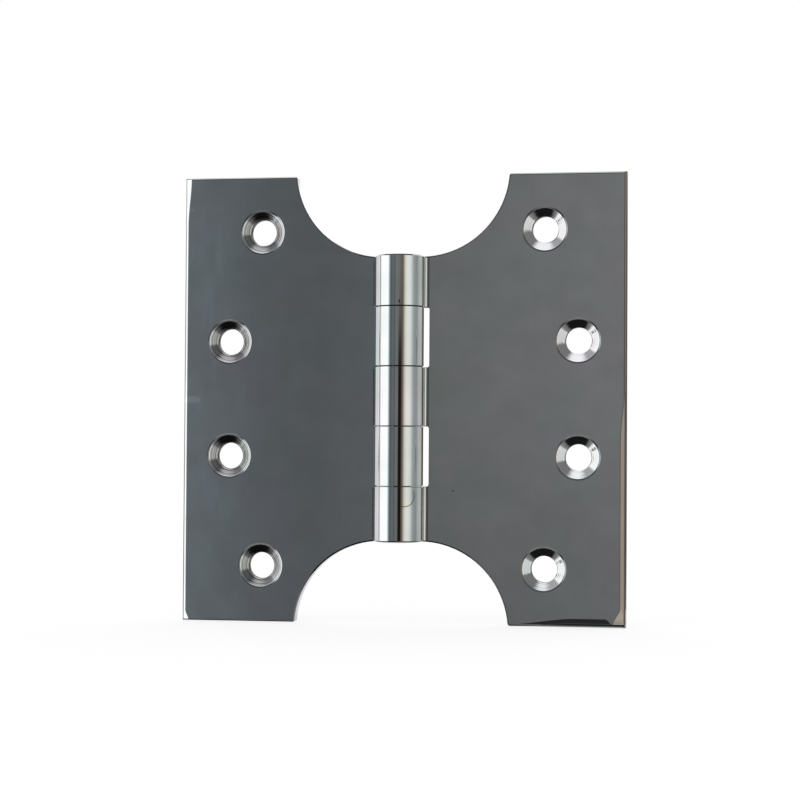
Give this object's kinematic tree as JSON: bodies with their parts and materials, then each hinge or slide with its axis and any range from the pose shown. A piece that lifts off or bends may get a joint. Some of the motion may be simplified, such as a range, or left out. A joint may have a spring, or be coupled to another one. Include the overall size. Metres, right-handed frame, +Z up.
{
  "type": "parliament hinge",
  "caption": "Wide door hinge shown open flat: polished leaves with countersunk screw holes and round cut-outs swing about a pin in a projecting knuckle barrel.",
  "frame": {"origin": "on the pin axis at mid-height of the hinge", "axes": "+Z up along the pin, +X towards the three-knuckle leaf, +Y out of the backs of the leaves"},
  "size_m": [0.102, 0.011, 0.102],
  "materials": {
    "polished_chrome": "polished plating on brass",
    "pin_steel": "drawn bright steel"
  },
  "bodies": {
    "three_knuckle_side": {"three_knuckle_leaf": "polished_chrome", "hinge_pin": "pin_steel"},
    "two_knuckle_side": {"two_knuckle_leaf": "polished_chrome"}
  },
  "joints": [
    {"name": "leaf_swing", "type": "hinge", "parent": "three_knuckle_side", "child": "two_knuckle_side", "pos_m": [0, 0, 0], "axis": [0, 0, 1], "range_deg": [-90, 180]}
  ]
}
